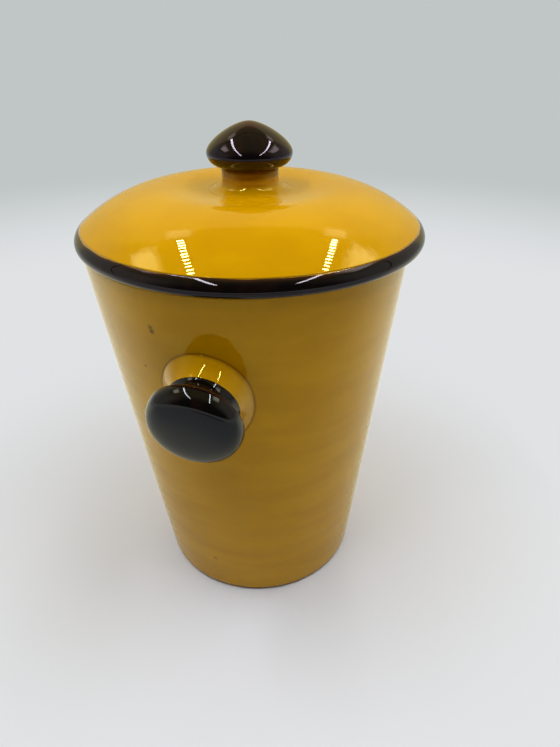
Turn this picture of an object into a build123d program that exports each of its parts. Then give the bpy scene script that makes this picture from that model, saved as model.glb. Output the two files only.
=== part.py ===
from build123d import *
from math import cos, radians, sin
import os

# A glazed earthenware olive jar with a lift-off lid, in millimetres.
# The origin is the centre of the flat foot, +Z is up and the side knob points to -Y.
# The vessel, the lid and the two knobs are thrown forms, so every profile is turned.

# Vessel: a straight wall that leans outwards, on a flat foot
JAR_HEIGHT = 188.0        # from the table to the flat lip that the lid rests on
MOUTH_RADIUS = 75.9       # outer radius of the wall at the lip
BASE_RADIUS = 55.0        # outer radius that the wall reaches at the table
WALL = 6.0                # level thickness of the wall
FLOOR = 8.0               # thickness of the floor above the foot
BASE_ROUND = 2.5          # rounding of the lower outside edge
FLOOR_ROUND = 9.0         # rounding inside, where the wall meets the floor
LIP_ROUND = 1.6           # rounding of both edges of the lip

# Foot: the flat bare clay that the jar stands on
FOOT_INSET = 2.8          # from the edge of the base in to the edge of the foot
FOOT_DEPTH = 1.0

# Side knob: a foot that flares onto the wall, a hollow neck and a round head with a domed face
SIDE_KNOB_DROP = 47.1     # from the lip down to where its axis leaves the wall
SIDE_KNOB_DROOP = 12.0    # degrees that its axis falls below the level
SIDE_BASE_RADIUS = 20.4   # of the edge of the foot on the wall
SIDE_BASE_SINK = 2.5      # the flare starts behind the root, as the wall curves away
SIDE_BASE_DEPTH = 5.8     # from the root to the neck
SIDE_BASE_FLARE = 2.0     # how far the flare's outer handle lies within the edge
SIDE_NECK_LENGTH = 7.6
SIDE_NECK_DRAW = 1.4      # how far the neck's front handle lies within its back end
SIDE_SWEEP_IN = 1.0       # the outline narrows by this much over the next length
SIDE_SWEEP_ALONG = 3.3    # where the flare runs on into the neck
SIDE_HEAD_RADIUS = 20.1
SIDE_HEAD_BACK_ROUND = 1.6  # from the neck's end out to the widest place of the head
SIDE_HEAD_DOME = 10.4     # from the widest place of the head to the middle of its face
SIDE_DOME_SHARE = 0.7     # fullness of the dome, as the share of its size that its handles reach
SIDE_STEP = 4.8           # how far the neck's back end lies within the base
SIDE_SHOULDER = 3.0       # how far the neck's front end lies within the head

# Lid: a rounded rim on the lip, a low dome on the rim and a locating ring below it
RIM_OVERHANG = 4.1        # how far the rim stands out beyond the wall at the lip
RIM_HEIGHT = 7.2
RIM_BULGE = 3.4           # how far the rounded rim stands out beyond the dome
BULGE_REACH_SHARE = 4 / 3 # a cubic outline reaches three quarters of the way to its handles
DOME_RISE = 15.5
DOME_THICKNESS = 6.5      # at the middle of the dome
CROWN_RADIUS = 20.0       # the level middle of the dome, which carries the knob
RING_CLEARANCE = 2.5      # radial play between the locating ring and the mouth
RING_WALL = 5.0
RING_DEPTH = 10.0
RING_ROUND = 1.6

# Lid knob: a waisted neck that spreads into the dome, and a blunt pointed cap
NECK_RADIUS = 12.8
NECK_HEIGHT = 7.6
NECK_FOOT = 4.4           # how far the foot of the neck spreads beyond its waist
NECK_FLARE = 4.2          # height over which it spreads
CAP_RADIUS = 19.1
CAP_UNDERCUT = 5.6        # from the neck up to the widest place of the cap
CAP_CROWN = 12.7          # from the widest place up to the tip
CAP_SHOULDER_SHARE = 0.37
CAP_TIP_SHARE = 0.345

QUARTER_TURN = 90

# Places that follow from the sizes
LEAN = (MOUTH_RADIUS - BASE_RADIUS) / JAR_HEIGHT
FOOT_RADIUS = BASE_RADIUS - FOOT_INSET
FLOOR_TOP = FOOT_DEPTH + FLOOR
MOUTH_BORE = MOUTH_RADIUS - WALL
LID_RADIUS = MOUTH_RADIUS + RIM_OVERHANG
RIM_TOP = JAR_HEIGHT + RIM_HEIGHT
DOME_RADIUS = LID_RADIUS - RIM_BULGE
DOME_TOP = RIM_TOP + DOME_RISE
DOME_SLOPE = 3 * DOME_RISE / (DOME_RADIUS - CROWN_RADIUS)
RIM_REACH = RIM_BULGE * BULGE_REACH_SHARE
RING_RADIUS = MOUTH_BORE - RING_CLEARANCE
RING_BORE = RING_RADIUS - RING_WALL
NECK_TOP = DOME_TOP + NECK_HEIGHT
CAP_WAIST = NECK_TOP + CAP_UNDERCUT
CAP_TIP = CAP_WAIST + CAP_CROWN
SIDE_KNOB_HEIGHT = JAR_HEIGHT - SIDE_KNOB_DROP
SIDE_NECK_BACK = SIDE_BASE_RADIUS - SIDE_STEP
SIDE_HEAD_BACK = SIDE_BASE_DEPTH + SIDE_NECK_LENGTH
SIDE_HEAD_WIDEST = SIDE_HEAD_BACK + SIDE_HEAD_BACK_ROUND
SIDE_HEAD_FRONT = SIDE_HEAD_WIDEST + SIDE_HEAD_DOME


def wall_radius(height):
    """Outer radius of the vessel at a height above the table."""
    return BASE_RADIUS + LEAN * height


SIDE_DIRECTION = Vector(0, -cos(radians(SIDE_KNOB_DROOP)), -sin(radians(SIDE_KNOB_DROOP)))
SIDE_ROOT = Vector(0, -wall_radius(SIDE_KNOB_HEIGHT), SIDE_KNOB_HEIGHT)
SIDE_AXIS = Axis(SIDE_ROOT, SIDE_DIRECTION)
# In this plane X runs out from the knob's axis and Y runs along it, away from the wall.
SIDE_SECTION = Plane(SIDE_ROOT, x_dir=(1, 0, 0), z_dir=Vector(1, 0, 0).cross(SIDE_DIRECTION))


def circles(part):
    """Round edges of a turned part, in groups from the lowest to the highest."""
    return part.edges().filter_by(GeomType.CIRCLE).group_by(Axis.Z)


# Outer form of the vessel, used to fit the side knob to the wall
with BuildPart() as outer_form:
    with BuildSketch(Plane.XZ):
        with BuildLine():
            Polyline(
                (0, 0),
                (wall_radius(0), 0),
                (wall_radius(JAR_HEIGHT), JAR_HEIGHT),
                (0, JAR_HEIGHT),
                close=True,
            )
        make_face()
    revolve(axis=Axis.Z)

# Vessel: wall and floor in one thrown piece, open at the mouth
with BuildPart() as jar_body:
    with BuildSketch(Plane.XZ):
        with BuildLine():
            Polyline(
                (0, FOOT_DEPTH),
                (wall_radius(FOOT_DEPTH), FOOT_DEPTH),
                (wall_radius(JAR_HEIGHT), JAR_HEIGHT),
                (MOUTH_BORE, JAR_HEIGHT),
                (wall_radius(FLOOR_TOP) - WALL, FLOOR_TOP),
                (0, FLOOR_TOP),
                close=True,
            )
        make_face()
    revolve(axis=Axis.Z)
    fillet(circles(jar_body)[0], radius=BASE_ROUND)
    fillet(circles(jar_body)[-1], radius=LIP_ROUND)
    fillet(jar_body.edges().filter_by(GeomType.CIRCLE).filter_by_position(
        Axis.Z, FLOOR_TOP, FLOOR_TOP), radius=FLOOR_ROUND)
jar_body.part.label = "jar_body"

# Foot: a flat disc of bare clay under the glazed vessel
with BuildPart() as foot:
    with BuildSketch():
        Circle(FOOT_RADIUS)
    extrude(amount=FOOT_DEPTH)
    chamfer(circles(foot)[0], length=FOOT_DEPTH / 4)
foot.part.label = "foot"

# Base of the side knob: a hollow flare whose back is cut to the wall
with BuildPart() as side_knob_base:
    with BuildSketch(SIDE_SECTION):
        with BuildLine():
            Polyline(
                (SIDE_NECK_BACK, SIDE_BASE_DEPTH),
                (0, SIDE_BASE_DEPTH),
                (0, -WALL),
                (SIDE_BASE_RADIUS, -WALL),
                (SIDE_BASE_RADIUS, -SIDE_BASE_SINK),
            )
            Bezier(
                (SIDE_BASE_RADIUS, -SIDE_BASE_SINK),
                (SIDE_BASE_RADIUS - SIDE_BASE_FLARE, 0),
                (SIDE_NECK_BACK + SIDE_SWEEP_IN, SIDE_BASE_DEPTH - SIDE_SWEEP_ALONG),
                (SIDE_NECK_BACK, SIDE_BASE_DEPTH),
            )
        make_face()
    revolve(axis=SIDE_AXIS)
    add(outer_form.part, mode=Mode.SUBTRACT)
side_knob_base.part.label = "side_knob_base"

# Neck of the side knob: it carries on the flare and opens out to the head
with BuildPart() as side_knob_neck:
    with BuildSketch(SIDE_SECTION):
        with BuildLine():
            Polyline(
                (SIDE_HEAD_RADIUS - SIDE_SHOULDER, SIDE_HEAD_BACK),
                (0, SIDE_HEAD_BACK),
                (0, SIDE_BASE_DEPTH),
                (SIDE_NECK_BACK, SIDE_BASE_DEPTH),
            )
            Bezier(
                (SIDE_NECK_BACK, SIDE_BASE_DEPTH),
                (SIDE_NECK_BACK - SIDE_SWEEP_IN, SIDE_BASE_DEPTH + SIDE_SWEEP_ALONG),
                (SIDE_NECK_BACK - SIDE_NECK_DRAW, SIDE_HEAD_BACK - SIDE_HEAD_BACK_ROUND / 2),
                (SIDE_HEAD_RADIUS - SIDE_SHOULDER, SIDE_HEAD_BACK),
            )
        make_face()
    revolve(axis=SIDE_AXIS)
side_knob_neck.part.label = "side_knob_neck"

# Head of the side knob: a button that rounds out behind and domes forward to its face
with BuildPart() as side_knob_head:
    with BuildSketch(SIDE_SECTION):
        with BuildLine():
            Polyline(
                (0, SIDE_HEAD_FRONT),
                (0, SIDE_HEAD_BACK),
                (SIDE_HEAD_RADIUS - SIDE_SHOULDER, SIDE_HEAD_BACK),
            )
            EllipticalCenterArc(
                (SIDE_HEAD_RADIUS - SIDE_SHOULDER, SIDE_HEAD_WIDEST),
                SIDE_SHOULDER,
                SIDE_HEAD_BACK_ROUND,
                start_angle=-QUARTER_TURN,
                arc_size=QUARTER_TURN,
            )
            Bezier(
                (SIDE_HEAD_RADIUS, SIDE_HEAD_WIDEST),
                (SIDE_HEAD_RADIUS, SIDE_HEAD_WIDEST + SIDE_HEAD_DOME * SIDE_DOME_SHARE),
                (SIDE_HEAD_RADIUS * SIDE_DOME_SHARE, SIDE_HEAD_FRONT),
                (0, SIDE_HEAD_FRONT),
            )
        make_face()
    revolve(axis=SIDE_AXIS)
side_knob_head.part.label = "side_knob_head"

# Locating ring of the lid: it hangs in the mouth and keeps the lid in place
with BuildPart() as lid_ring:
    with BuildSketch(Plane.XY.offset(JAR_HEIGHT)):
        Circle(RING_RADIUS)
        Circle(RING_BORE, mode=Mode.SUBTRACT)
    extrude(amount=-RING_DEPTH)
    fillet(circles(lid_ring)[0], radius=RING_ROUND)
lid_ring.part.label = "lid_ring"

# Rim of the lid: a flat ring on the lip that carries on the slope of the dome and rounds under
with BuildPart() as lid_rim:
    with BuildSketch(Plane.XZ):
        with BuildLine():
            Polyline(
                (DOME_RADIUS, RIM_TOP),
                (RING_BORE, RIM_TOP),
                (RING_BORE, JAR_HEIGHT),
                (DOME_RADIUS, JAR_HEIGHT),
            )
            Bezier(
                (DOME_RADIUS, JAR_HEIGHT),
                (DOME_RADIUS + RIM_REACH, JAR_HEIGHT),
                (DOME_RADIUS + RIM_REACH, RIM_TOP - RIM_REACH * DOME_SLOPE),
                (DOME_RADIUS, RIM_TOP),
            )
        make_face()
    revolve(axis=Axis.Z)
lid_rim.part.label = "lid_rim"


def dome_curve(inner, outer, top, edge):
    """Outline that leaves a level crown and steepens evenly towards its edge."""
    reach = outer - inner
    return Bezier(
        (inner, top),
        (inner + reach / 3, top),
        (inner + reach * 2 / 3, top),
        (outer, edge),
    )


# Dome of the lid: a low shell, hollow below, with a level crown
with BuildPart() as lid_dome:
    with BuildSketch(Plane.XZ):
        with BuildLine():
            Line((0, DOME_TOP), (CROWN_RADIUS, DOME_TOP))
            dome_curve(CROWN_RADIUS, DOME_RADIUS, DOME_TOP, RIM_TOP)
            Line((DOME_RADIUS, RIM_TOP), (RING_BORE, RIM_TOP))
            dome_curve(CROWN_RADIUS, RING_BORE, DOME_TOP - DOME_THICKNESS, RIM_TOP)
            Polyline(
                (CROWN_RADIUS, DOME_TOP - DOME_THICKNESS),
                (0, DOME_TOP - DOME_THICKNESS),
                (0, DOME_TOP),
            )
        make_face()
    revolve(axis=Axis.Z)
lid_dome.part.label = "lid_dome"

# Neck of the lid knob: it spreads in a hollow curve onto the crown of the dome
with BuildPart() as lid_knob_neck:
    with BuildSketch(Plane.XZ):
        with BuildLine():
            Polyline(
                (NECK_RADIUS, DOME_TOP + NECK_FLARE),
                (NECK_RADIUS, NECK_TOP),
                (0, NECK_TOP),
                (0, DOME_TOP),
                (NECK_RADIUS + NECK_FOOT, DOME_TOP),
            )
            Bezier(
                (NECK_RADIUS + NECK_FOOT, DOME_TOP),
                (NECK_RADIUS + NECK_FOOT / 4, DOME_TOP + NECK_FLARE / 4),
                (NECK_RADIUS, DOME_TOP + NECK_FLARE),
            )
        make_face()
    revolve(axis=Axis.Z)
lid_knob_neck.part.label = "lid_knob_neck"

# Cap of the lid knob: widest low down, drawn up to a blunt tip
with BuildPart() as lid_knob_cap:
    with BuildSketch(Plane.XZ):
        with BuildLine():
            Polyline((0, CAP_TIP), (0, NECK_TOP), (NECK_RADIUS, NECK_TOP))
            EllipticalCenterArc(
                (NECK_RADIUS, CAP_WAIST),
                CAP_RADIUS - NECK_RADIUS,
                CAP_UNDERCUT,
                start_angle=-QUARTER_TURN,
                arc_size=QUARTER_TURN,
            )
            Bezier(
                (CAP_RADIUS, CAP_WAIST),
                (CAP_RADIUS, CAP_WAIST + CAP_CROWN * CAP_SHOULDER_SHARE),
                (CAP_RADIUS * CAP_TIP_SHARE, CAP_TIP),
                (0, CAP_TIP),
            )
        make_face()
    revolve(axis=Axis.Z)
lid_knob_cap.part.label = "lid_knob_cap"

os.makedirs("parts", exist_ok=True)
for piece in (
    jar_body,
    foot,
    side_knob_base,
    side_knob_neck,
    side_knob_head,
    lid_ring,
    lid_rim,
    lid_dome,
    lid_knob_neck,
    lid_knob_cap,
):
    export_step(piece.part, f"parts/{piece.part.label}.step")
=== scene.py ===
from math import atan2, cos, pi, radians, sin

import bmesh
import bpy
from mathutils import Matrix, Vector
from mathutils.geometry import interpolate_bezier
from mathutils.noise import fractal


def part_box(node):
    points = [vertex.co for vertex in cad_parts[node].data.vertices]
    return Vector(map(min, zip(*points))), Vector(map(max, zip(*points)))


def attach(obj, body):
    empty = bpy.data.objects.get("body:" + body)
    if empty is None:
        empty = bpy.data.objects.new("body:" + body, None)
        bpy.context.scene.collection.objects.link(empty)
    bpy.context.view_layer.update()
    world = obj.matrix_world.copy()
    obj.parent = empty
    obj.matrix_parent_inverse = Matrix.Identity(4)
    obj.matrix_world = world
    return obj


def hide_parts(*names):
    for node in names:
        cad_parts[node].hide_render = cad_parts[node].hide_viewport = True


bl_info = {
    "name": "Olive Jar",
    "version": (1, 0, 0),
    "blender": (4, 5, 0),
    "location": "3D Viewport > Sidebar > Olive Jar",
    "description": "Builds a glazed earthenware olive jar with a side knob and a loose domed lid",
    "category": "Add Mesh",
}

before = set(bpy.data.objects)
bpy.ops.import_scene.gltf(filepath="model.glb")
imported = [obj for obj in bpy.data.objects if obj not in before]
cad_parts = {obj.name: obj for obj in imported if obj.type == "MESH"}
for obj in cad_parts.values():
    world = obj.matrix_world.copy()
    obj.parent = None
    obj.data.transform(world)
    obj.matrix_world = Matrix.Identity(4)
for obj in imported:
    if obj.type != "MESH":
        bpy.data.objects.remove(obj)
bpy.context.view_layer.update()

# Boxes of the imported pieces, in metres
BODY_LOW, BODY_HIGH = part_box("jar_body")
FOOT_LOW, FOOT_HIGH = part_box("foot")
RING_LOW, RING_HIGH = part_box("lid_ring")
_, RIM_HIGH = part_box("lid_rim")
_, CAP_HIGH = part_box("lid_knob_cap")

LIP = BODY_HIGH.z
RIM_TOP = RIM_HIGH.z
DOME_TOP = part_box("lid_dome")[1].z
NECK_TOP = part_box("lid_knob_neck")[1].z
CAP_TIP = CAP_HIGH.z
FULL_TURN = 2 * pi


def srgb(red, green, blue):
    """Linear colour, with alpha, of a colour written in 0 to 255 screen values."""
    def linear(value):
        part = value / 255
        return part / 12.92 if part <= 0.04045 else ((part + 0.055) / 1.055) ** 2.4

    return (linear(red), linear(green), linear(blue), 1.0)


def length(name, description, default):
    return bpy.props.FloatProperty(
        name=name, description=description, default=default, unit="LENGTH", precision=5)


def angle(name, description, degrees):
    return bpy.props.FloatProperty(
        name=name, description=description, default=radians(degrees), unit="ROTATION")


def number(name, description, default):
    return bpy.props.FloatProperty(name=name, description=description, default=default)


def share(name, description, default):
    return bpy.props.FloatProperty(
        name=name, description=description, default=default, min=0, max=1, subtype="FACTOR")


def colour(name, description, default):
    return bpy.props.FloatVectorProperty(
        name=name, description=description, default=default, size=4, min=0, max=1, subtype="COLOR")


def spot(name, description, default):
    return bpy.props.FloatVectorProperty(
        name=name, description=description, default=default, size=len(default), subtype="XYZ",
        unit="LENGTH", precision=5)


class OliveJarVessel(bpy.types.PropertyGroup):
    """Sizes of the vessel and its foot"""

    mouth_radius: length("Mouth radius", "Outer radius of the wall at the lip", 0.0759)
    base_radius: length("Base radius", "Outer radius that the wall reaches at the table", 0.055)
    wall: length("Wall", "Level thickness of the wall", 0.006)
    floor: length("Floor", "Thickness of the floor", 0.008)
    base_round: length("Base rounding", "Rounding of the lower outside edge", 0.0015)
    lip_round: length("Lip rounding", "Rounding of both edges of the lip", 0.0016)
    floor_round: length("Floor rounding", "Rounding where the wall meets the floor", 0.009)
    ring_depth: length("Throwing ring depth", "Depth of the rings left by the fingers", 0.00006)
    ring_pitch: length("Throwing ring pitch", "Height from one ring to the next", 0.0068)
    lean_high: length(
        "Lean at the lip", "How far the hand-thrown wall leans sideways at the lip", -0.002)
    lean_low: length(
        "Lean at the foot", "How far the hand-thrown wall leans sideways at the foot", 0.0008)
    lean_toward: angle("Lean direction", "Direction of the lean round the jar", 16.35)
    unevenness: length(
        "Unevenness", "How far the hand-thrown wall strays from a true cone", 0.00018)


class OliveJarSideKnob(bpy.types.PropertyGroup):
    """Sizes of the knob on the wall"""

    drop: length("Drop", "From the lip down to where the axis leaves the wall", 0.0471)
    droop: angle("Droop", "How far the axis falls below the level", 12)
    base_radius: length("Base radius", "Radius of the edge of the flare on the wall", 0.0202)
    base_sink: length("Base sink", "How far behind the root the flare starts", 0.0025)
    base_depth: length("Base depth", "From the root to the neck", 0.0058)
    base_flare: length(
        "Base flare", "How far the flare's outer handle lies within its edge", 0.002)
    base_tall: number("Base height", "Height of the hand-pressed edge over its width", 1.17)
    base_up: length("Base lift", "How far the hand-pressed edge lies above the axis", -0.003)
    base_aside: length(
        "Base shift", "How far the hand-pressed edge lies beside the axis", -0.0011)
    step: length("Step", "From the edge of the flare in to the back of the neck", 0.0046)
    neck_length: length("Neck length", "From the base to the head", 0.0076)
    neck_draw: length(
        "Neck draw", "How far the neck's front handle lies within its back end", 0.0014)
    sweep_in: length(
        "Sweep in", "How much the outline narrows where the flare runs into the neck", 0.001)
    sweep_along: length("Sweep along", "Length over which it narrows so", 0.0033)
    shoulder: length("Shoulder", "From the head's radius in to the front of the neck", 0.003)
    head_radius: length("Head radius", "Radius of the round head", 0.0201)
    back_round: length(
        "Back rounding", "From the neck's end to the widest place of the head", 0.0016)
    dome: length("Dome", "From the widest place of the head to the middle of its face", 0.0095)
    dome_share: share("Dome fullness", "How full the domed face is", 0.76)
    seat: length("Seat", "How deep the pieces of the knob run into each other", 0.0004)


class OliveJarLid(bpy.types.PropertyGroup):
    """Sizes of the lid and its knob"""

    rim_bulge: length("Rim bulge", "How far the rim stands out beyond the dome", 0.0028)
    thickness: length("Thickness", "Thickness at the middle of the dome", 0.0065)
    crown_radius: length("Crown radius", "Radius of the level middle of the dome", 0.020)
    dip: length("Dip", "How far the dome sinks in round the knob's neck", 0.0024)
    dip_reach: length(
        "Dip reach", "Radius at which the sunken part has risen to the dome", 0.044)
    ring_wall: length("Ring wall", "Thickness of the locating ring", 0.005)
    ring_gap: length(
        "Ring gap", "Hairline between the locating ring and the rim above it", 0.00004)
    ring_round: length("Ring rounding", "Rounding of the ring's lower edges", 0.0016)
    neck_radius: length("Neck radius", "Radius of the knob's neck", 0.0128)
    neck_foot: length("Neck foot", "How far the neck spreads onto the dome", 0.0064)
    neck_flare: length("Neck flare", "Height over which the neck spreads", 0.0048)
    seat: length("Seat", "How deep the knob runs into the dome", 0.0004)
    cap_undercut: length(
        "Cap undercut", "From the neck up to the widest place of the cap", 0.0056)
    shoulder_share: share("Cap shoulder", "How full the flank of the cap is", 0.37)
    tip_share: share("Cap tip", "How broad the tip of the cap is", 0.345)


class OliveJarGlaze(bpy.types.PropertyGroup):
    """Colours of the glazes and the clay"""

    ochre: colour("Ochre", "The yellow glaze", srgb(210, 155, 0))
    ochre_deep: colour("Deep ochre", "The yellow glaze where it lies thick", srgb(200, 144, 0))
    # Besides the glaze breaking over an edge, this brown is also painted as shade round the side
    # knob's joint, along the base of the wall and under the lid knob's cap.
    crease: colour(
        "Crease brown", "The yellow glaze where it breaks over an edge", srgb(116, 56, 18))
    black: colour("Black", "The dark glaze", srgb(10, 7, 7))
    black_thin: colour("Thin black", "The dark glaze where it runs thin", srgb(50, 24, 14))
    clay: colour("Clay", "Bare fired earthenware", srgb(186, 132, 98))
    speck_upper: spot(
        "Speck, upper end", "Upper end of the dark speck on the wall", (-0.0213, -0.0717, 0.1701))
    speck_lower: spot(
        "Speck, lower end", "Lower end of the dark speck on the wall", (-0.021, -0.0716, 0.1685))
    speck_fine: spot(
        "Fine speck", "Place of the fine brown speck below it", (-0.0287, -0.0665, 0.1487))
    speck_low: spot(
        "Low speck", "Place of the faint speck near the base", (-0.0089, -0.0568, 0.0238))
    speck_size: length("Speck size", "Radius at which a large speck has faded out", 0.0019)
    speck_fine_size: length(
        "Fine speck size", "Radius at which the fine speck has faded out", 0.00095)
    gloss: share("Roughness", "Roughness of both glazes", 0.022)
    ochre_shine: colour(
        "Ochre shine", "Tint of what the yellow glaze mirrors head-on", (1.0, 0.92, 0.2, 1.0))
    black_shine: colour(
        "Dark shine", "Tint of what the dark glaze mirrors head-on", (1.0, 0.9, 0.97, 1.0))
    cap_shine: colour(
        "Cap shine", "Tint of what the lid's knob mirrors head-on", (1.0, 0.8, 1.0, 1.0))
    handle_shine: colour(
        "Handle shine", "Tint of what the side knob mirrors head-on", (0.95, 1.0, 1.0, 1.0))
    ochre_bend: number("Ochre IOR", "Index of refraction of the yellow glaze", 1.8)
    black_bend: number("Dark IOR", "Index of refraction of the dark glaze", 1.5)


class OliveJarStage(bpy.types.PropertyGroup):
    """Camera and light"""

    camera_azimuth: angle("Camera azimuth", "Angle of the camera round the jar", 16.35)
    camera_distance: length("Camera distance", "Level distance to the jar's axis", 0.26219)
    camera_height: length("Camera height", "Height above the table", 0.26943)
    camera_pitch: angle("Camera pitch", "How far the camera looks down", 31.43)
    camera_heading: angle("Camera heading", "How far it looks past the jar's axis", 2.93)
    camera_lens: bpy.props.FloatProperty(
        name="Lens", description="Focal length", default=27.04, unit="CAMERA")
    camera_nearest: length("Nearest", "Distance from which on the camera sees things", 0.01)
    lamp_height: length(
        "Lamp height", "Height of the strips and soft lamps above the table", 0.6)
    strip_width: length("Strip width", "Width of a light strip", 0.024)
    strip_length: length("Strip length", "Length of a light strip", 0.58)
    strip_middle: length(
        "Strip middle", "Place of the middle of a strip, beyond the jar", -0.13)
    strip_left: length("Left strip", "Place of the left strip across the picture", -0.195)
    strip_right: length("Right strip", "Place of the right strip across the picture", 0.237)
    strip_lamps: bpy.props.IntProperty(
        name="Strip lamps", description="Lamps in a strip", default=27)
    strip_light: colour("Strip light", "Colour of the small lamps", (0.9, 0.92, 1.0, 1))
    strip_radiance: number(
        "Strip radiance", "Brightness of the two light strips in the glaze", 50)
    glow_radiance: number(
        "Glow radiance", "Brightness of the light that falls from the strips", 36)
    glow_length: length("Glow length", "Length of strip whose light falls on the jar", 0.36)
    glow_middle: length(
        "Glow middle", "Place of the middle of that length, beyond the jar", -0.14)
    echo_radiance: number(
        "Echo radiance", "Brightness of the soft lamp at the far end of a strip", 1.0)
    echo_size: length("Echo size", "Width of that lamp", 0.12)
    panel_radiance: number(
        "Panel radiance", "Brightness of the two soft lamps beside the strips", 2.4)
    panel_light: colour("Panel light", "Colour of the two soft lamps", (1.0, 0.92, 0.85, 1))
    panel_left: spot(
        "Left panel", "Place of the left soft lamp, across and beyond the jar", (-0.37, 0.045))
    panel_left_size: spot(
        "Left panel size", "Width and length of the left soft lamp", (0.2, 0.29))
    panel_right: spot(
        "Right panel", "Place of the right soft lamp, across and beyond the jar", (0.405, 0.01))
    panel_right_size: spot(
        "Right panel size", "Width and length of the right soft lamp", (0.27, 0.4))
    fill_radiance: number(
        "Fill radiance", "Brightness of the soft light from all over the ceiling", 0.95)
    fill_size: length("Fill size", "Width of the ceiling that lights the jar softly", 1.6)
    fill_height: length("Fill height", "Height of that ceiling", 1.2)
    back_high: colour(
        "Back wall above", "Light from the upper part of the wall behind the jar",
        (0.6, 0.49, 0.25, 1))
    back_low: colour(
        "Back wall below", "Light from the lower part of the wall behind the jar",
        (0.58, 0.51, 0.26, 1))
    seam: angle("Seam", "How high above the level the back wall meets the ceiling", 67)
    side_wall: colour("Side walls", "Light from the walls beside the jar", (0.36, 0.35, 0.3, 1))
    ceiling: colour(
        "Ceiling", "Light from the ceiling between the strips", (0.19, 0.185, 0.07, 1))
    front: colour("Front", "Light from the open front", (0.02, 0.02, 0.02, 1))
    table_size: length("Table size", "Half the width of the table", 3)
    table_gap: length("Table gap", "Hairline between the table and the foot", 0.00005)
    near: length(
        "Near", "Distance from the jar at which the table starts to fade into the backdrop", 0.08)
    far: length("Far", "Distance from the jar at which the table is all backdrop", 0.29)
    bend: length("Bend", "Distance from the jar at which the backdrop starts to rise", 0.5)
    risen: length("Risen", "Distance from the jar at which the backdrop stands upright", 1.1)
    table: colour("Table", "Colour of the table near the jar", srgb(229, 233, 246))
    table_far: colour("Far table", "Colour of the table away from the jar", srgb(224, 226, 228))
    table_dim: colour(
        "Dim table", "Colour with which the table lights the jar", srgb(204, 194, 184))
    mirrored: colour(
        "Mirrored table", "Colour of the table before the jar in the glaze", srgb(168, 172, 177))
    mirrored_back: colour(
        "Mirrored behind", "Colour of the table behind the jar in the glaze",
        srgb(250, 248, 226))
    shade: colour(
        "Mirrored shade", "Dark place beyond the front of the table in the glaze",
        srgb(34, 34, 34))
    backdrop: colour("Backdrop", "Colour of the upright backdrop", srgb(192, 198, 198))


# Shapes

WELD = 1e-6
WALL_TRIES = 12
# A curve whose two handles stand equally far out bulges by three quarters of that
BULGE_HANDLE = 4 / 3


def finish_mesh(bm, name, material):
    """Makes a smooth object at the origin from a bmesh, with its faces pointing outwards."""
    bmesh.ops.remove_doubles(bm, verts=bm.verts, dist=WELD)
    bmesh.ops.recalc_face_normals(bm, faces=bm.faces)
    for face in bm.faces:
        face.smooth = True
    mesh = bpy.data.meshes.new(name)
    bm.to_mesh(mesh)
    bm.free()
    mesh.materials.append(material)
    piece = bpy.data.objects.new(name, mesh)
    bpy.context.scene.collection.objects.link(piece)
    return piece


def outline(*stretches, close=False):
    """Starts a mesh from half an outline: points (radius, height), each joined to the next."""
    bm = bmesh.new()
    last = None
    for stretch in stretches:
        for radius, height in stretch:
            vert = bm.verts.new((radius, 0, height))
            if last is not None:
                bm.edges.new((last, vert))
            last = vert
    if close:
        bm.verts.ensure_lookup_table()
        bm.edges.new((last, bm.verts[0]))
    bmesh.ops.remove_doubles(bm, verts=bm.verts, dist=WELD)
    return bm


def curve(start, start_handle, end_handle, end, count):
    """Points of a smooth stretch of outline."""
    knots = [Vector((r, z, 0)) for r, z in (start, start_handle, end_handle, end)]
    return [(p.x, p.y) for p in interpolate_bezier(*knots, count)]


def quarter(middle, across, down, count):
    """Points of a quarter of an oval, from straight below its middle out to its side."""
    turned = [pi / 2 * (row / count - 1) for row in range(count + 1)]
    return [(middle[0] + across * cos(t), middle[1] + down * sin(t)) for t in turned]


def round_corners(bm, places, radius, segments):
    """Rounds the corners of an outline that lie nearest to some places."""
    corners = [
        min(bm.verts, key=lambda vert: (vert.co - Vector((r, 0, z))).length) for r, z in places]
    bmesh.ops.bevel(
        bm, geom=corners, offset=radius, offset_type="OFFSET", segments=segments,
        profile=0.5, affect="VERTICES", material=-1, clamp_overlap=True)


def divide(bm, low, high, cuts):
    """Cuts the outermost edge of an outline that spans two heights into short ones."""
    long_edges = [
        edge for edge in bm.edges
        if min(v.co.z for v in edge.verts) < low and max(v.co.z for v in edge.verts) > high
    ]
    outermost = max(long_edges, key=lambda edge: sum(v.co.x for v in edge.verts))
    bmesh.ops.subdivide_edges(bm, edges=[outermost], cuts=cuts, use_grid_fill=False)


def turn(bm, steps):
    """Turns an outline about the upright axis."""
    bmesh.ops.spin(
        bm, geom=bm.verts[:] + bm.edges[:], cent=(0, 0, 0), axis=(0, 0, 1), dvec=(0, 0, 0),
        angle=FULL_TURN, steps=steps, use_merge=True, use_duplicate=False)
    bmesh.ops.remove_doubles(bm, verts=bm.verts, dist=WELD)


def wall_radius(height):
    """Outer radius of the vessel at a height."""
    vessel = bpy.context.scene.olive_jar_vessel
    return vessel.base_radius + (vessel.mouth_radius - vessel.base_radius) * height / LIP


def lean_at(height):
    """How far the hand-thrown wall stands aside at a height."""
    vessel = bpy.context.scene.olive_jar_vessel
    aside = Vector((cos(vessel.lean_toward), sin(vessel.lean_toward), 0))
    return aside * (vessel.lean_low + (vessel.lean_high - vessel.lean_low) * height / LIP)


def depth_to_wall(point, direction):
    """How far a point lies from the wall, measured along a direction."""
    travel = 0.0
    for _ in range(WALL_TRIES):
        place = point + direction * travel
        level = place - lean_at(place.z)
        travel -= Vector((level.x, level.y)).length - wall_radius(place.z)
    return travel


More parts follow.
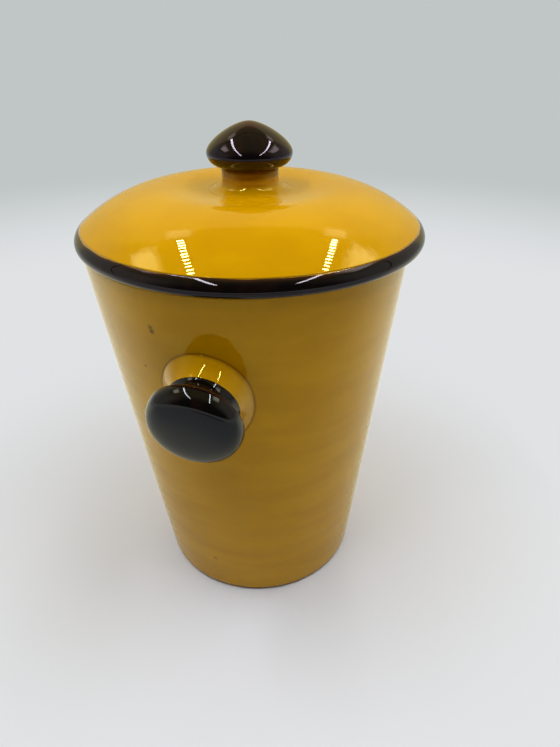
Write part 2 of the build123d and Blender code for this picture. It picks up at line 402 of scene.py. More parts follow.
def side_knob_place():
    """Where the side knob's axis leaves the wall, and the directions across, up and along it."""
    knob = bpy.context.scene.olive_jar_side_knob
    height = LIP - knob.drop
    root = Vector((0, -wall_radius(height), height))
    across = Vector((1, 0, 0))
    direction = Vector((0, -cos(knob.droop), -sin(knob.droop)))
    return root, across, direction.cross(across), direction


def place_side_knob(bm):
    """Moves a form turned about +Z so that it stands on the wall along the side knob's axis."""
    root, *axes = side_knob_place()
    turned = Matrix(axes).transposed().to_4x4()
    bmesh.ops.transform(bm, matrix=Matrix.Translation(root) @ turned, verts=bm.verts)


# Finishes. A fade runs from the value where it is 1 to the value where it is 0, a scale counts
# the cells of a noise in a metre, and a ragged edge has a scale and the width that it strays over.

NOISE_MIDDLE = 0.5
CLOUD_STRETCH = (0.7, 0.7, 2.6)
CLOUD_SCALE = 30.0
CLOUD_FADE = (0.34, 0.68)
FINE_DETAIL = 4.0
STREWN_SCALE = 70.0
STREWN_RARITY = 0.86
STREWN_FADE = (0.008, 0.028)
SPECK_STRENGTHS = {
    "speck_upper": 0.75, "speck_lower": 0.85, "speck_fine": 0.95, "speck_low": 0.5}
SPECK_CORE = 0.1
PATCH_SCALE = 150.0
PATCH_ROUGHNESS = 0.6
PATCH_FADE = (0.72, 0.42)
PATCH_BROWN = 0.25
WAVE_SCALE = 240.0
WAVE_DEPTH = 0.000012

# The brown round the side knob's joint is partly the glaze breaking there and partly painted shade
# in the joint; the brown band at the base of the wall is painted shade where it meets the table.
CREASE_FADE = (0.0, 0.055)
CREASE_BROWN_AND_SHADE = 0.6
BASE_SHADE_RAGGED = (90.0, 0.0012)
BASE_SHADE_FADE = (0.0004, 0.0014)
BASE_SHADE = 0.8
FLARE_RAGGED = (120.0, 0.03)
FLARE_FADE = (1.0, 0.96)
FLARE_BROWN_AND_SHADE = 0.5
THIN_FADE = (0.0002, 0.0012)
HANDLE_THIN = 0.6
BAND_RAGGED = (45.0, 0.0011)
BAND_BLUR = 0.0002
BAND_BELOW_FADE = (RIM_TOP - 0.002, RIM_TOP - 0.001)
# The brown at the top of the lid knob's neck is painted shade under the cap.
NECK_SHADE_RAGGED = (120.0, 0.0016)
NECK_SHADE_FADE = (NECK_TOP, NECK_TOP - 0.0022)
NECK_SHADE = 0.7
CAP_TIP_FADE = (CAP_TIP, CAP_TIP - 0.0035)
CAP_FOOT_FADE = (NECK_TOP + 0.0002, NECK_TOP + 0.0014)

CLAY_SCALE = 60.0
CLAY_DETAIL = 3.0
CLAY_FADE = (0.35, 0.7)
CLAY_DARKER = 0.78
CLAY_ROUGHNESS = 0.86
GRAIN_SCALE = 900.0
GRAIN_ROUGHNESS = 0.7
GRAIN_STRENGTH = 0.6
GRAIN_DEPTH = 0.0002


class Shader:
    """Adds nodes to a material, lamp or world, with their inputs set or linked in one call."""

    def __init__(self, owner):
        owner.use_nodes = True
        self.owner = owner
        self.tree = owner.node_tree
        self.tree.nodes.clear()

    def node(self, kind, inputs=(), **settings):
        made = self.tree.nodes.new("ShaderNode" + kind)
        for name, value in settings.items():
            setattr(made, name, value)
        for key, value in dict(inputs).items():
            if isinstance(value, bpy.types.NodeSocket):
                self.tree.links.new(value, made.inputs[key])
            else:
                made.inputs[key].default_value = value
        return made

    def math(self, operation, first, second=0.0):
        return self.node("Math", {0: first, 1: second}, operation=operation).outputs[0]

    def times(self, first, second):
        return self.math("MULTIPLY", first, second)

    def most(self, first, second):
        return self.math("MAXIMUM", first, second)

    def apart(self, first, second):
        """How far two values lie from each other."""
        return self.math("ABSOLUTE", self.math("SUBTRACT", first, second))

    def vector(self, operation, first, second=(0, 0, 0)):
        return self.node("VectorMath", {0: first, 1: second}, operation=operation).outputs

    def along(self, place, direction):
        """How far a place lies along a direction."""
        return self.vector("DOT_PRODUCT", place, direction)["Value"]

    def parts(self, place):
        """The X, Y and Z of a place."""
        return self.node("SeparateXYZ", {"Vector": place}).outputs

    def fade(self, value, start, end):
        """1 at the start value, 0 at the end value, smooth between."""
        return self.node("MapRange", {
            "Value": value, "From Min": start, "From Max": end, "To Min": 1.0, "To Max": 0.0},
            interpolation_type="SMOOTHSTEP").outputs["Result"]

    def mix(self, factor, first, second):
        return self.node(
            "Mix", {"Factor": factor, "A": first, "B": second}, data_type="RGBA").outputs["Result"]

    def noise(self, place, scale, detail=2.0, roughness=0.5):
        return self.node("TexNoise", {
            "Vector": place, "Scale": scale, "Detail": detail,
            "Roughness": roughness}).outputs["Fac"]

    def ragged(self, value, place, scale, width):
        """A value that strays unevenly, by up to half a width either way."""
        stray = self.times(self.math("SUBTRACT", self.noise(place, scale), NOISE_MIDDLE), width)
        return self.math("ADD", value, stray)


def new_material(name):
    """The shader of a new material, and its Object coordinates."""
    shader = Shader(bpy.data.materials.new(name))
    return shader, shader.node("TexCoord").outputs["Object"]


def off_axis(shader, place):
    """How far a place lies from the jar's upright axis."""
    level = shader.vector("MULTIPLY", place, (1, 1, 0))[0]
    return shader.vector("LENGTH", level)["Value"]


def ochre_colour(shader, place):
    """Yellow glaze that lies in soft clouds, with a few fine specks of iron strewn in it."""
    glaze = bpy.context.scene.olive_jar_glaze
    streaks = shader.vector("MULTIPLY", place, CLOUD_STRETCH)[0]
    clouds = shader.fade(shader.noise(streaks, CLOUD_SCALE, FINE_DETAIL), *CLOUD_FADE)
    tone = shader.mix(clouds, glaze.ochre, glaze.ochre_deep)
    cells = shader.node("TexVoronoi", {"Vector": place, "Scale": STREWN_SCALE}).outputs
    chance = shader.node("SeparateColor", {"Color": cells["Color"]}).outputs["Red"]
    rare = shader.math("GREATER_THAN", chance, STREWN_RARITY)
    dot = shader.fade(cells["Distance"], *STREWN_FADE)
    return shader.mix(shader.times(dot, rare), tone, glaze.crease)


def browned_ochre(shader, place, brown):
    """Yellow glaze turned brown by a share: glaze breaking at the side knob's joint, and painted
    shade there, along the base and under the lid knob's cap.
    """
    glaze = bpy.context.scene.olive_jar_glaze
    return shader.mix(brown, ochre_colour(shader, place), glaze.crease)


def specks(shader, place):
    """Iron specks on the wall: a long dark one, a fine one and a faint one."""
    glaze = bpy.context.scene.olive_jar_glaze
    marks = 0.0
    for name, strength in SPECK_STRENGTHS.items():
        size = glaze.speck_fine_size if name == "speck_fine" else glaze.speck_size
        away = shader.vector("DISTANCE", place, getattr(glaze, name))["Value"]
        mark = shader.times(shader.fade(away, size * SPECK_CORE, size), strength)
        marks = shader.most(mark, marks)
    return marks


def black_colour(shader, place, thin):
    """Dark glaze, browner in patches and where it runs thin."""
    glaze = bpy.context.scene.olive_jar_glaze
    noise = shader.noise(place, PATCH_SCALE, FINE_DETAIL, PATCH_ROUGHNESS)
    patches = shader.times(shader.fade(noise, *PATCH_FADE), PATCH_BROWN)
    return shader.mix(shader.most(thin, patches), glaze.black, glaze.black_thin)


def surfaced(shader, relief, strength, depth, settings):
    """Ends a material in a surface with a fine relief, and gives the material back."""
    bump = shader.node("Bump", {"Height": relief, "Strength": strength, "Distance": depth})
    surface = shader.node("BsdfPrincipled", {**settings, "Normal": bump.outputs["Normal"]})
    shader.node("OutputMaterial", {"Surface": surface.outputs["BSDF"]})
    return shader.owner


def glazed(shader, place, tone, shine, bend):
    """Glossy glaze over clay, with the faint unevenness that a dipped glaze dries with."""
    glaze = bpy.context.scene.olive_jar_glaze
    return surfaced(shader, shader.noise(place, WAVE_SCALE), 1.0, WAVE_DEPTH, {
        "Base Color": tone, "Roughness": glaze.gloss, "IOR": bend, "Specular Tint": shine})


def yellow_glazed(shader, place, tone):
    """Glossy yellow glaze, which tints what it mirrors."""
    glaze = bpy.context.scene.olive_jar_glaze
    return glazed(shader, place, tone, glaze.ochre_shine, glaze.ochre_bend)


def off_side_knob(shader, place):
    """How far a place lies from the side knob's axis, as a share of the flare's edge."""
    knob = bpy.context.scene.olive_jar_side_knob
    root, across, upward, _ = side_knob_place()
    away = shader.vector("SUBTRACT", place, root)[0]
    aside = shader.math("SUBTRACT", shader.along(away, across), knob.base_aside)
    up = shader.math("SUBTRACT", shader.along(away, upward), knob.base_up)
    oval = shader.node("CombineXYZ", {
        "X": aside, "Y": shader.math("DIVIDE", up, knob.base_tall)}).outputs[0]
    return shader.math("DIVIDE", shader.vector("LENGTH", oval)["Value"], knob.base_radius)


def vessel_material():
    """Yellow glaze, brown round the side knob partly where it breaks and partly as painted shade in
    the joint, and darkened along the base by painted shade where it meets the table.
    """
    glaze = bpy.context.scene.olive_jar_glaze
    shader, place = new_material("vessel_glaze")
    parts = shader.parts(place)
    front = shader.math("LESS_THAN", parts["Y"], 0.0)
    # Brown round the side knob's joint: partly the glaze breaking, partly painted shade.
    crease = shader.fade(shader.apart(off_side_knob(shader, place), 1.0), *CREASE_FADE)
    crease = shader.times(crease, front)
    # Painted shade: the lowest part of the wall darkened to brown where it meets the table.
    base = shader.fade(shader.ragged(parts["Z"], place, *BASE_SHADE_RAGGED), *BASE_SHADE_FADE)
    brown = shader.most(shader.times(crease, CREASE_BROWN_AND_SHADE), shader.times(base, BASE_SHADE))
    yellow = browned_ochre(shader, place, brown)
    yellow = shader.mix(specks(shader, place), yellow, glaze.black_thin)
    return yellow_glazed(shader, place, yellow)


def side_base_material():
    """Yellow glaze of the flare, brown along its edge on the wall, partly where the glaze breaks
    and partly as painted shade in the joint.
    """
    shader, place = new_material("side_base_glaze")
    around = shader.ragged(off_side_knob(shader, place), place, *FLARE_RAGGED)
    # Brown along the flare's edge: partly the glaze breaking, partly painted shade in the joint
    # with the wall.
    crease = shader.fade(around, *FLARE_FADE)
    yellow = browned_ochre(shader, place, shader.times(crease, FLARE_BROWN_AND_SHADE))
    return yellow_glazed(shader, place, yellow)


def side_handle_material():
    """Dark glaze of the side knob, brown where it thins over the back edge of the head."""
    knob = bpy.context.scene.olive_jar_side_knob
    glaze = bpy.context.scene.olive_jar_glaze
    shader, place = new_material("side_handle_glaze")
    root, *_, direction = side_knob_place()
    along = shader.along(shader.vector("SUBTRACT", place, root)[0], direction)
    back_edge = knob.base_depth + knob.neck_length + knob.back_round
    thin = shader.times(shader.fade(shader.apart(along, back_edge), *THIN_FADE), HANDLE_THIN)
    dark = black_colour(shader, place, thin)
    return glazed(shader, place, dark, glaze.handle_shine, glaze.black_bend)


def lid_material(name, shine, bend):
    """Yellow glaze on the dome that meets the dark band round the rim in a hand-painted edge."""
    lid = bpy.context.scene.olive_jar_lid
    shader, place = new_material(name)
    edge = RIM_HIGH.x - lid.rim_bulge
    reach = shader.ragged(off_axis(shader, place), place, *BAND_RAGGED)
    banded = shader.fade(reach, edge + BAND_BLUR, edge - BAND_BLUR)
    below = shader.fade(shader.parts(place)["Z"], *BAND_BELOW_FADE)
    thin = shader.fade(shader.apart(reach, edge), *THIN_FADE)
    yellow, dark = ochre_colour(shader, place), black_colour(shader, place, thin)
    tone = shader.mix(shader.most(banded, below), yellow, dark)
    return glazed(shader, place, tone, shine, bend)


def neck_material():
    """Yellow glaze at the foot of the neck, darkened to brown towards the cap as painted shade
    under it.
    """
    shader, place = new_material("neck_glaze")
    height = shader.ragged(shader.parts(place)["Z"], place, *NECK_SHADE_RAGGED)
    # Painted shade: the neck darkened to brown just under the cap.
    brown = shader.times(shader.fade(height, *NECK_SHADE_FADE), NECK_SHADE)
    yellow = browned_ochre(shader, place, brown)
    return yellow_glazed(shader, place, yellow)


def cap_material():
    """Dark glaze of the cap, brown at its tip and where it ends below."""
    glaze = bpy.context.scene.olive_jar_glaze
    shader, place = new_material("cap_glaze")
    height = shader.parts(place)["Z"]
    thin = shader.most(shader.fade(height, *CAP_TIP_FADE), shader.fade(height, *CAP_FOOT_FADE))
    dark = black_colour(shader, place, thin)
    return glazed(shader, place, dark, glaze.cap_shine, glaze.black_bend)


def clay_material():
    """Bare fired earthenware, matt and slightly sandy."""
    glaze = bpy.context.scene.olive_jar_glaze
    shader, place = new_material("bare_clay")
    darker = tuple(value * CLAY_DARKER for value in glaze.clay[:3]) + (1.0,)
    fired = shader.fade(shader.noise(place, CLAY_SCALE, CLAY_DETAIL), *CLAY_FADE)
    grain = shader.noise(place, GRAIN_SCALE, FINE_DETAIL, GRAIN_ROUGHNESS)
    return surfaced(shader, grain, GRAIN_STRENGTH, GRAIN_DEPTH, {
        "Base Color": shader.mix(fired, glaze.clay, darker), "Roughness": CLAY_ROUGHNESS})


# Pieces

class OLIVEJAR_OT_vessel(bpy.types.Operator):
    """Add the thrown vessel and its bare foot"""

    bl_idname = "mesh.olive_jar_vessel"
    bl_label = "Vessel"
    bl_options = {"REGISTER", "UNDO"}

    steps = 216
    base_segments = 10
    lip_segments = 8
    floor_segments = 14
    # The wall is cut into short edges between these heights, for its rings
    cut_low = 0.02
    cut_high = 0.17
    wall_cuts = 230
    inside_cuts = 40
    # Shares of the foot's thickness, of the wall's, and of the rings and the height they fade over
    foot_chamfer = 0.25
    skin_share = 0.25
    rings_lost = 0.75
    rings_lost_height = 0.6
    # Height over which both edges of the wall are held true
    held_height = 0.012
    ring_sway = 4
    drift_scale = 9.0
    drift_octaves = (1.0, 2.0, 2)

    def execute(self, context):
        sizes = context.scene.olive_jar_vessel
        under = BODY_LOW.z
        base = wall_radius(under)
        mouth = sizes.mouth_radius
        bore = mouth - sizes.wall
        floor_top = under + sizes.floor
        inside = wall_radius(floor_top) - sizes.wall
        bm = outline([
            (0, under), (base, under), (mouth, LIP), (bore, LIP), (inside, floor_top),
            (0, floor_top)])
        round_corners(bm, [(base, under)], sizes.base_round, self.base_segments)
        round_corners(bm, [(mouth, LIP), (bore, LIP)], sizes.lip_round, self.lip_segments)
        round_corners(bm, [(inside, floor_top)], sizes.floor_round, self.floor_segments)
        divide(bm, self.cut_low, self.cut_high, self.wall_cuts)
        divide(bm, self.cut_low, self.cut_high, self.inside_cuts)
        turn(bm, self.steps)
        self.throw(bm, sizes)
        vessel = finish_mesh(bm, "glazed_vessel", vessel_material())
        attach(vessel, "jar")
        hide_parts("jar_body")

        chamfer = FOOT_HIGH.z * self.foot_chamfer
        bm = outline([
            (0, FOOT_LOW.z), (FOOT_HIGH.x - chamfer, FOOT_LOW.z), (FOOT_HIGH.x, chamfer),
            (FOOT_HIGH.x, FOOT_HIGH.z), (0, FOOT_HIGH.z)])
        turn(bm, self.steps)
        foot = finish_mesh(bm, "bare_foot", clay_material())
        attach(foot, "jar")
        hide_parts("foot")
        return {"FINISHED"}

    def throw(self, bm, sizes):
        """Leaves the rings, the slow unevenness and the slight lean of a wall raised by hand."""
        for vert in bm.verts:
            place = vert.co.copy()
            lean = lean_at(place.z)
            vert.co = place + lean
            reach = Vector((place.x, place.y)).length
            if reach < wall_radius(place.z) - sizes.wall * self.skin_share:
                continue
            turns = place.z / sizes.ring_pitch + atan2(place.y, place.x) / FULL_TURN
            drift = fractal(place * self.drift_scale, *self.drift_octaves)
            kept = 1 - self.rings_lost * min(1, place.z / (self.rings_lost_height * LIP))
            held = min(1, place.z / self.held_height, (LIP - place.z) / self.held_height)
            push = sizes.ring_depth * kept * sin(FULL_TURN * turns + self.ring_sway * drift)
            push += sizes.unevenness * drift
            scale = 1 + held * push / reach
            vert.co = Vector((place.x * scale, place.y * scale, place.z)) + lean


class OLIVEJAR_OT_side_knob(bpy.types.Operator):
    """Add the knob on the wall, a bulged base and a dark handle"""

    bl_idname = "mesh.olive_jar_side_knob"
    bl_label = "Side Knob"
    bl_options = {"REGISTER", "UNDO"}

    steps = 144
    sweep_points = 32
    back_segments = 16
    face_points = 60
    inner_share = 0.6

    def execute(self, context):
        knob = context.scene.olive_jar_side_knob
        edge = knob.base_radius
        back = edge - knob.step
        depth = knob.base_depth
        sunk = -knob.base_sink - knob.seat
        bm = outline(
            [(0, sunk), (edge, sunk)],
            curve((edge, -knob.base_sink), (edge - knob.base_flare, 0),
                  (back + knob.sweep_in, depth - knob.sweep_along), (back, depth),
                  self.sweep_points),
            [(back * self.inner_share, depth), (0, depth)])
        turn(bm, self.steps)
        self.press_on(bm, knob)
        base = finish_mesh(bm, "side_knob_root", side_base_material())
        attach(base, "jar")
        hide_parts("side_knob_base")

        front = depth + knob.neck_length
        widest = front + knob.back_round
        face = widest + knob.dome
        head = knob.head_radius
        inner = head - knob.shoulder
        bm = outline(
            [(0, depth - knob.seat), (back, depth - knob.seat)],
            curve((back, depth), (back - knob.sweep_in, depth + knob.sweep_along),
                  (back - knob.neck_draw, front - knob.back_round / 2), (inner, front),
                  self.sweep_points),
            quarter((inner, widest), knob.shoulder, knob.back_round, self.back_segments),
            curve((head, widest), (head, widest + knob.dome * knob.dome_share),
                  (head * knob.dome_share, face), (0, face), self.face_points))
        turn(bm, self.steps)
        place_side_knob(bm)
        handle = finish_mesh(bm, "side_knob_handle", side_handle_material())
        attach(handle, "jar")
        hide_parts("side_knob_neck", "side_knob_head")
        return {"FINISHED"}

    def press_on(self, bm, knob):
        """Draws the edge of the flare out, taller than wide, and down onto the curved wall."""
        depths = {vert: vert.co.z for vert in bm.verts}
        span = knob.base_depth + knob.base_sink
        near = {vert: min(1, (knob.base_depth - depth) / span) for vert, depth in depths.items()}
        for vert, level in near.items():
            out = min(1, Vector((vert.co.x, vert.co.y)).length / knob.base_radius)
            drawn = level ** 2 * out
            vert.co.x += knob.base_aside * drawn
            vert.co.y = vert.co.y * (1 + (knob.base_tall - 1) * drawn) + knob.base_up * drawn
        place_side_knob(bm)
        *_, direction = side_knob_place()
        for vert, level in near.items():
            below = vert.co - direction * (depths[vert] + knob.base_sink)
            vert.co += direction * level * depth_to_wall(below, direction)


class OLIVEJAR_OT_lid(bpy.types.Operator):
    """Add the domed lid with its dark rim and the ring below it"""

    bl_idname = "mesh.olive_jar_lid"
    bl_label = "Lid"
    bl_options = {"REGISTER", "UNDO"}

    steps = 216
    ring_segments = 8
    rim_points = 40
    dome_points = 110
    hollow_points = 30

    def execute(self, context):
        lid = context.scene.olive_jar_lid
        glaze = context.scene.olive_jar_glaze
        edge = RIM_HIGH.x - lid.rim_bulge
        outer, low = RING_HIGH.x, RING_LOW.z
        bore = outer - lid.ring_wall
        ring_top = RING_HIGH.z - lid.ring_gap
        bm = outline(
            [(bore, ring_top), (bore, low), (outer, low), (outer, ring_top)], close=True)
        round_corners(bm, [(bore, low), (outer, low)], lid.ring_round, self.ring_segments)
        turn(bm, self.steps)
        ring = finish_mesh(bm, "locating_ring", clay_material())
        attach(ring, "ring")
        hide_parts("lid_ring")

        # The rim takes up the slope that the dome ends with
        slope = 3 * (DOME_TOP - RIM_TOP) / (edge - lid.crown_radius)
        reach = lid.rim_bulge * BULGE_HANDLE
        out = edge + reach
        bm = outline(
            [(bore, LIP)],
            curve((edge, LIP), (out, LIP), (out, RIM_TOP - reach * slope), (edge, RIM_TOP),
                  self.rim_points),
            [(bore, RIM_TOP)], close=True)
        turn(bm, self.steps)
        rim = finish_mesh(
            bm, "rolled_rim", lid_material("rim_glaze", glaze.black_shine, glaze.black_bend))
        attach(rim, "lid")
        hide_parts("lid_rim")

        inner_top = DOME_TOP - lid.thickness
        crown = self.sweep(lid.crown_radius, edge, DOME_TOP, self.dome_points)
        hollow = self.sweep(lid.crown_radius, bore, inner_top, self.hollow_points)
        bm = outline(
            [(radius, height - self.dip_at(radius)) for radius, height in [(0, DOME_TOP), *crown]],
            reversed(hollow), [(0, inner_top)])
        turn(bm, self.steps)
        dome = finish_mesh(
            bm, "domed_lid", lid_material("dome_glaze", glaze.ochre_shine, glaze.ochre_bend))
        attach(dome, "lid")
        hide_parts("lid_dome")
        return {"FINISHED"}

    def dip_at(self, radius):
        """How far the dome sinks in at a radius."""
        lid = bpy.context.scene.olive_jar_lid
        risen = (radius - lid.crown_radius) / (lid.dip_reach - lid.crown_radius)
        return lid.dip * (1 + cos(pi * min(1, max(0, risen)))) / 2

    def sweep(self, inner, outer, top, count):
        """Outline that leaves a level crown and steepens evenly down to the top of the rim."""
        third = (outer - inner) / 3
        return curve((inner, top), (inner + third, top), (outer - third, top), (outer, RIM_TOP),
                     count)


class OLIVEJAR_OT_lid_knob(bpy.types.Operator):
    """Add the knob of the lid, a spreading neck and a blunt pointed cap"""

    bl_idname = "mesh.olive_jar_lid_knob"
    bl_label = "Lid Knob"
    bl_options = {"REGISTER", "UNDO"}

    steps = 160
    neck_points = 24
    foot_pull = 0.6
    flare_pull = 0.35
    undercut_segments = 20
    crown_points = 48

    def execute(self, context):
        lid = context.scene.olive_jar_lid
        stem = lid.neck_radius
        foot = stem + lid.neck_foot
        ground = DOME_TOP - lid.dip
        bm = outline(
            [(0, ground - lid.seat), (foot, ground - lid.seat)],
            curve((foot, ground), (foot - lid.neck_foot * self.foot_pull, ground),
                  (stem, ground + lid.neck_flare * self.flare_pull),
                  (stem, ground + lid.neck_flare), self.neck_points),
            [(stem, NECK_TOP + lid.seat), (0, NECK_TOP + lid.seat)])
        turn(bm, self.steps)
        neck = finish_mesh(bm, "lid_knob_stem", neck_material())
        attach(neck, "lid")
        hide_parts("lid_knob_neck")

        widest = CAP_HIGH.x
        waist = NECK_TOP + lid.cap_undercut
        flank = waist + (CAP_TIP - waist) * lid.shoulder_share
        bm = outline(
            [(0, NECK_TOP)],
            quarter((stem, waist), widest - stem, lid.cap_undercut, self.undercut_segments),
            curve((widest, waist), (widest, flank), (widest * lid.tip_share, CAP_TIP),
                  (0, CAP_TIP), self.crown_points))
        turn(bm, self.steps)
        cap = finish_mesh(bm, "lid_knob_top", cap_material())
        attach(cap, "lid")
        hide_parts("lid_knob_cap")
        return {"FINISHED"}


# Stage. Fades of the table are in metres, those of the lamps in shares of their width and
# length, and those of the surroundings in parts of a direction seen from the jar.

MIRRORED_FADE = (-0.2, 0.1)
SHADE_FADE = (-0.65, -0.55)
SHADE_ASIDE_FADE = (0.3, 0.42)
LAMP_MIDDLE = (0.5, 0.5, 0.0)
PANEL_RAGGED = (7.0, 0.25)
PANEL_FADE = (0.2, 0.46)
STRIP_LAMP_FADE = (0.12, 0.22)
BACK_CORNER = 1.1
BACK_CORNER_FADE = (-0.1, 0.1)
BACK_TOP_FADE = (0.75, 0.8)
BACK_HIGH_FADE = (0.56, 0.42)
CEILING_FADE = (0.75, 0.45)
FRONT_FADE = (-0.75, -0.2)
SEAM_FADE = (0.006, 0.014)


class OLIVEJAR_OT_stage(bpy.types.Operator):
    """Add the pale table, the soft studio light and the camera"""

    bl_idname = "scene.olive_jar_stage"
    bl_label = "Stage"
    bl_options = {"REGISTER", "UNDO"}

    def execute(self, context):
        stage = context.scene.olive_jar_stage
        context.scene.view_settings.view_transform = "Standard"
        self.add_table(stage)
        self.add_strip(stage, "left", stage.strip_left)
        self.add_strip(stage, "right", stage.strip_right)
        for name in ("panel_left", "panel_right"):
            self.add_panel(
                stage, name, getattr(stage, name + "_size"),
                (*getattr(stage, name), stage.lamp_height), stage.panel_radiance)
        fill = self.add_lamp(
            stage, "fill", (stage.fill_size, stage.fill_size), (0, 0, stage.fill_height),
            stage.fill_radiance)
        fill.visible_glossy = False
        self.add_surroundings(context, stage)
        self.add_camera(context, stage)
        return {"FINISHED"}

    def add_table(self, stage):
        """A table that turns into a plain backdrop, with other tones where the glaze mirrors it."""
        bm = bmesh.new()
        bmesh.ops.create_grid(bm, x_segments=1, y_segments=1, size=stage.table_size)
        bmesh.ops.translate(bm, vec=(0, 0, -stage.table_gap), verts=bm.verts)
        shader, place = new_material("table")
        radius = off_axis(shader, place)
        seen = shader.node("LightPath").outputs
        turned = stage.camera_azimuth
        beyond = shader.along(place, (-sin(turned), cos(turned), 0))
        across = shader.along(place, (cos(turned), sin(turned), 0))
        mirrored = shader.mix(
            shader.fade(beyond, *MIRRORED_FADE), stage.mirrored_back, stage.mirrored)
        shaded = shader.times(
            shader.fade(beyond, *SHADE_FADE),
            shader.fade(shader.math("ABSOLUTE", across), *SHADE_ASIDE_FADE))
        mirrored = shader.mix(shaded, mirrored, stage.shade)
        near = shader.mix(seen["Is Glossy Ray"], stage.table, mirrored)
        near = shader.mix(seen["Is Diffuse Ray"], near, stage.table_dim)
        far = shader.mix(seen["Is Glossy Ray"], stage.table_far, mirrored)
        far = shader.mix(shader.fade(radius, stage.risen, stage.bend), far, stage.backdrop)
        matt = shader.node("BsdfDiffuse", {"Color": near})
        plain = shader.node("Emission", {"Color": far, "Strength": 1.0})
        watched = shader.most(seen["Is Camera Ray"], seen["Is Glossy Ray"])
        away = shader.fade(radius, stage.far, stage.near)
        blend = shader.node("MixShader", {
            "Fac": shader.times(watched, away), 1: matt.outputs["BSDF"],
            2: plain.outputs["Emission"]})
        shader.node("OutputMaterial", {"Surface": blend.outputs["Shader"]})
        table = finish_mesh(bm, "table", shader.owner)

    def add_lamp(self, stage, name, size, place, radiance):
        """A rectangular lamp that faces down, placed in the camera's own level directions."""
        lamp = bpy.data.lights.new(name, "AREA")
        lamp.shape = "RECTANGLE"
        lamp.size, lamp.size_y = size
        lamp.energy = radiance * pi * size[0] * size[1]
        holder = bpy.data.objects.new(name, lamp)
        holder.location = Matrix.Rotation(stage.camera_azimuth, 3, "Z") @ Vector(place)
        holder.rotation_euler = (0, 0, stage.camera_azimuth)
        holder.visible_camera = False
        bpy.context.scene.collection.objects.link(holder)
        return holder

    def light_up(self, shader, tone, lit):
        """Gives a lamp its colour and a brightness that changes over its face."""
        light = shader.node("Emission", {"Color": tone, "Strength": lit})
        shader.node("OutputLight", {"Surface": light.outputs["Emission"]})

    def add_panel(self, stage, name, size, place, radiance):
        """A soft lamp that fades out towards its edges."""
        panel = self.add_lamp(stage, name, size, place, radiance)
        shader = Shader(panel.data)
        face = shader.node("NewGeometry").outputs["Parametric"]
        offset = shader.parts(shader.vector("SUBTRACT", face, LAMP_MIDDLE)[0])
        lit = 1.0
        for axis in ("X", "Y"):
            reach = shader.ragged(shader.math("ABSOLUTE", offset[axis]), face, *PANEL_RAGGED)
            lit = shader.times(shader.fade(reach, *PANEL_FADE), lit)
        self.light_up(shader, stage.panel_light, lit)

    def add_strip(self, stage, side, across):
        """A row of small lamps, seen as a dotted line in the glaze, and the light it sheds."""
        size = (stage.strip_width, stage.strip_length)
        place = (across, stage.strip_middle, stage.lamp_height)
        strip = self.add_lamp(stage, "strip_" + side, size, place, stage.strip_radiance)
        strip.visible_diffuse = False
        shader = Shader(strip.data)
        face = shader.parts(shader.node("NewGeometry").outputs["Parametric"])
        beat = shader.math("FRACT", shader.times(face["Y"], stage.strip_lamps))
        lit = shader.fade(shader.apart(beat, 0.5), *STRIP_LAMP_FADE)
        self.light_up(shader, stage.strip_light, lit)
        glow = self.add_lamp(
            stage, "glow_" + side, (stage.strip_width, stage.glow_length),
            (across, stage.glow_middle, stage.lamp_height), stage.glow_radiance)
        glow.visible_glossy = False
        end = stage.strip_middle + stage.strip_length / 2
        self.add_panel(
            stage, "echo_" + side, (stage.echo_size, stage.echo_size),
            (across, end + stage.echo_size / 2, stage.lamp_height), stage.echo_radiance)

    def add_surroundings(self, context, stage):
        """A bright wall behind the jar, dimmer sides and ceiling and a dark open front."""
        world = bpy.data.worlds.new("studio")
        context.scene.world = world
        shader = Shader(world)
        turned = shader.node("VectorRotate", {
            "Vector": shader.node("TexCoord").outputs["Generated"],
            "Angle": -stage.camera_azimuth}, rotation_type="Z_AXIS").outputs["Vector"]
        part = shader.parts(turned)
        aside = shader.math("ABSOLUTE", part["X"])
        corner = shader.math("SUBTRACT", aside, shader.times(part["Y"], BACK_CORNER))
        behind = shader.times(
            shader.fade(corner, *BACK_CORNER_FADE), shader.fade(part["Z"], *BACK_TOP_FADE))
        back = shader.mix(
            shader.fade(part["Z"], *BACK_HIGH_FADE), stage.back_low, stage.back_high)
        tone = shader.mix(
            shader.fade(part["Z"], *CEILING_FADE), stage.side_wall, stage.ceiling)
        tone = shader.mix(shader.fade(part["Y"], *FRONT_FADE), tone, stage.front)
        tone = shader.mix(behind, tone, back)
        slope = shader.along(turned, (0, -sin(stage.seam), cos(stage.seam)))
        seam = shader.fade(shader.math("ABSOLUTE", slope), *SEAM_FADE)
        tone = shader.mix(seam, tone, stage.front)
        light = shader.node("Background", {"Color": tone, "Strength": 1.0})
        seen = shader.node("Background", {"Color": stage.backdrop, "Strength": 1.0})
        blend = shader.node("MixShader", {
            "Fac": shader.node("LightPath").outputs["Is Camera Ray"],
            1: light.outputs["Background"], 2: seen.outputs["Background"]})
        shader.node("OutputWorld", {"Surface": blend.outputs["Shader"]})

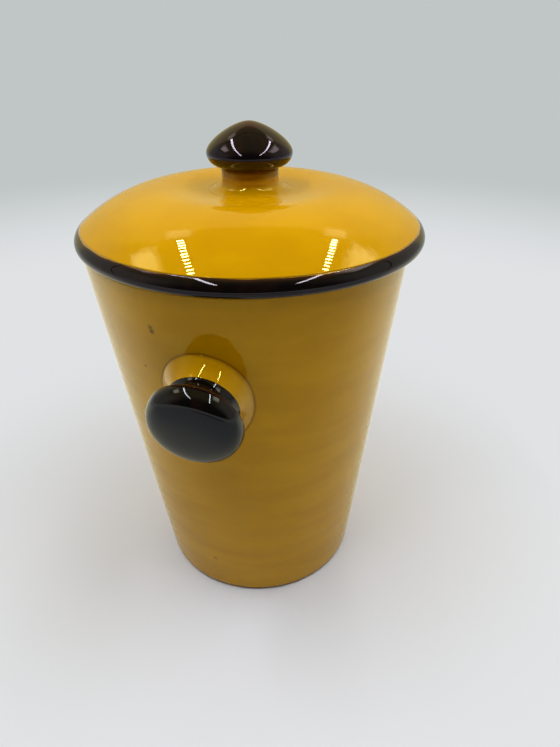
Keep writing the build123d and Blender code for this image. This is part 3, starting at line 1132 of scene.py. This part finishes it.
    def add_camera(self, context, stage):
        """Looks down past the jar, as the photograph does."""
        data = bpy.data.cameras.new("camera")
        data.lens = stage.camera_lens
        data.clip_start = stage.camera_nearest
        camera = bpy.data.objects.new("camera", data)
        turned = stage.camera_azimuth
        camera.location = (
            stage.camera_distance * sin(turned), -stage.camera_distance * cos(turned),
            stage.camera_height)
        camera.rotation_euler = (pi / 2 - stage.camera_pitch, 0, turned - stage.camera_heading)
        context.scene.collection.objects.link(camera)
        context.scene.camera = camera


class OLIVEJAR_PT_panel(bpy.types.Panel):
    """Sizes, colours and pieces of the olive jar"""

    bl_idname = "OLIVEJAR_PT_panel"
    bl_label = "Olive Jar"
    bl_space_type = "VIEW_3D"
    bl_region_type = "UI"
    bl_category = "Olive Jar"

    def draw(self, context):
        for title, name, _, operators in SECTIONS:
            box = self.layout.box()
            box.label(text=title)
            settings = getattr(context.scene, name)
            for key in settings.bl_rna.properties.keys():
                if key not in ("rna_type", "name"):
                    box.prop(settings, key)
            for operator in operators:
                box.operator(operator.bl_idname)


# Titles in the panel, with the scene's settings, their kind and the operators that use them
SECTIONS = (
    ("Vessel", "olive_jar_vessel", OliveJarVessel, (OLIVEJAR_OT_vessel,)),
    ("Side Knob", "olive_jar_side_knob", OliveJarSideKnob, (OLIVEJAR_OT_side_knob,)),
    ("Lid", "olive_jar_lid", OliveJarLid, (OLIVEJAR_OT_lid, OLIVEJAR_OT_lid_knob)),
    ("Glaze", "olive_jar_glaze", OliveJarGlaze, ()),
    ("Stage", "olive_jar_stage", OliveJarStage, (OLIVEJAR_OT_stage,)),
)
KINDS = (*(operator for *_, operators in SECTIONS for operator in operators), OLIVEJAR_PT_panel)


def register():
    for _, name, group, _ in SECTIONS:
        bpy.utils.register_class(group)
        setattr(bpy.types.Scene, name, bpy.props.PointerProperty(type=group))
    for kind in KINDS:
        bpy.utils.register_class(kind)


def unregister():
    for kind in reversed(KINDS):
        bpy.utils.unregister_class(kind)
    for _, name, group, _ in reversed(SECTIONS):
        delattr(bpy.types.Scene, name)
        bpy.utils.unregister_class(group)


def main():
    register()
    bpy.ops.mesh.olive_jar_vessel()
    bpy.ops.mesh.olive_jar_side_knob()
    bpy.ops.mesh.olive_jar_lid()
    bpy.ops.mesh.olive_jar_lid_knob()
    bpy.ops.scene.olive_jar_stage()


if __name__ == "__main__":
    main()
